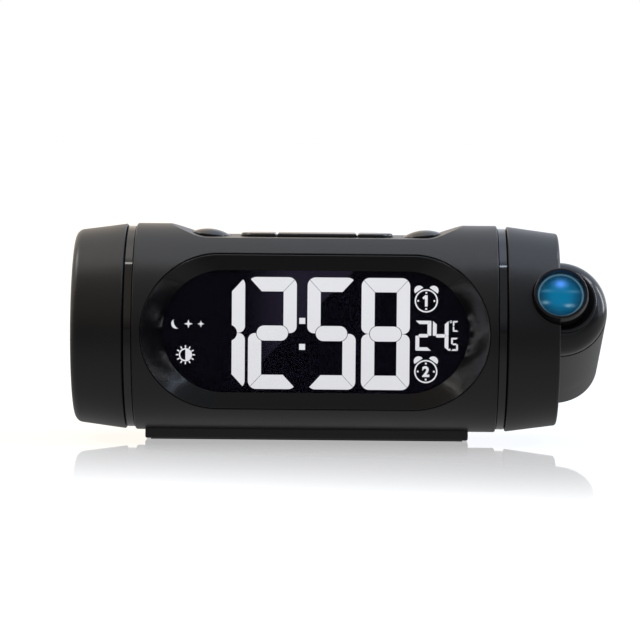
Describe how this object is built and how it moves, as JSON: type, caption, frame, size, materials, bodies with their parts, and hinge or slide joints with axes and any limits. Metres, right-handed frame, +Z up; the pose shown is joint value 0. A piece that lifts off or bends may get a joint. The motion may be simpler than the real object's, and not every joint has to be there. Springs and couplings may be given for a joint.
{
  "type": "projection alarm clock",
  "caption": "Tube-shaped bedside alarm clock lying on a low foot, with a recessed display in front, sprung keys on top and a projector barrel in one end cap that turns.",
  "frame": {"origin": "on the table plane, on the middle rubber strip under the foot, below the tube's long axis and midway along the tube", "axes": "+Z up, +X along the tube to the right of someone reading the display (towards the projector), -Y towards that person"},
  "size_m": [0.189, 0.0755, 0.077],
  "materials": {
    "satin_black": "satin moulded",
    "gloss_black": "polished",
    "tinted_window": "clear, dark tint",
    "mask_black": "printed matt",
    "lit_white": "diffusing",
    "display_glass": "clear",
    "clear_guide": "clear moulded",
    "board_green": "solder mask",
    "lamp_yellow": "moulded",
    "frame_white": "moulded",
    "switch_black": "moulded",
    "inner_black": "moulded",
    "washer_nylon": "natural",
    "foam_grey": "foam",
    "steel": "zinc plated",
    "black_steel": "blackened",
    "paper_cone": "paper",
    "magnet_grey": "ground",
    "chip_black": "moulded",
    "sensor_black": "dipped",
    "brass_leaf": "plain",
    "cell_steel": "stainless",
    "pad_rubber": "moulded",
    "board_aluminium": "plain",
    "lens_clear": "coated",
    "film_dark": "film"
  },
  "bodies": {
    "clock_body": {"front_housing": "satin_black", "rear_housing": "satin_black", "window_bezel": "gloss_black", "display_window": "tinted_window", "display_mask": "mask_black", "display_digits": "lit_white", "display_reading": "lit_white", "display_panel": "display_glass", "light_guide": "clear_guide", "display_board": "board_green", "backlight_lamps": "lamp_yellow", "display_retainer": "frame_white", "key_switches": "switch_black", "key_board": "board_green", "left_bulkhead": "inner_black", "right_bulkhead": "inner_black", "left_trim_ring": "gloss_black", "right_trim_ring": "gloss_black", "left_cap": "satin_black", "friction_washer": "washer_nylon", "speaker_gasket": "foam_grey", "speaker_frame": "steel", "speaker_cone": "paper_cone", "speaker_magnet": "magnet_grey", "main_board": "board_green", "board_screws": "steel", "board_parts": "chip_black", "temperature_sensor": "sensor_black", "power_jack": "chip_black", "cell_holder": "inner_black", "cell_contact": "brass_leaf", "rear_screws": "black_steel", "foot_base": "satin_black", "foot_pads": "pad_rubber", "foot_screws": "black_steel"},
    "projector_head": {"right_cap": "satin_black", "projector_barrel": "satin_black", "projector_dome": "gloss_black", "head_plate": "inner_black", "head_screws": "steel", "hub_clip": "steel", "optics_holder": "inner_black", "condenser_lens": "lens_clear", "image_film": "film_dark", "lamp_board": "board_aluminium", "projection_lamp": "lamp_yellow"},
    "focus": {"focus_ring": "gloss_black", "projection_lens": "lens_clear", "lens_retainer": "inner_black"},
    "battery_tray": {"cell_tray": "satin_black", "coin_cell": "cell_steel"},
    "snooze_bar": {"snooze_bar": "satin_black"},
    "left_key": {"left_key": "satin_black"},
    "right_key": {"right_key": "satin_black"},
    "left_round_key": {"left_round_key": "satin_black"},
    "right_round_key": {"right_round_key": "satin_black"}
  },
  "joints": [
    {"name": "head_turn", "type": "hinge", "parent": "clock_body", "child": "projector_head", "pos_m": [0.075, 0, 0.04], "axis": [-1, 0, 0], "range_deg": [-23.5, 156.5]},
    {"name": "focus_turn", "type": "hinge", "parent": "projector_head", "child": "focus", "pos_m": [0.0858, 0, 0.04], "axis": [0, -0.9171, 0.3987], "range_deg": [-60, 60]},
    {"name": "tray_slide", "type": "slide", "parent": "clock_body", "child": "battery_tray", "axis": [0, 1, 0], "range_m": [0, 0.024]},
    {"name": "snooze_bar_press", "type": "slide", "parent": "clock_body", "child": "snooze_bar", "axis": [0, 0, -1], "range_m": [0, 0.0008], "stiffness_N_per_m": 1000},
    {"name": "left_key_press", "type": "slide", "parent": "clock_body", "child": "left_key", "axis": [0, 0, -1], "range_m": [0, 0.0008], "stiffness_N_per_m": 1000},
    {"name": "right_key_press", "type": "slide", "parent": "clock_body", "child": "right_key", "axis": [0, 0, -1], "range_m": [0, 0.0008], "stiffness_N_per_m": 1000},
    {"name": "left_round_key_press", "type": "slide", "parent": "clock_body", "child": "left_round_key", "axis": [-0.1045, 0, -0.9945], "range_m": [0, 0.0008], "stiffness_N_per_m": 1000},
    {"name": "right_round_key_press", "type": "slide", "parent": "clock_body", "child": "right_round_key", "axis": [0.1045, 0, -0.9945], "range_m": [0, 0.0008], "stiffness_N_per_m": 1000}
  ]
}
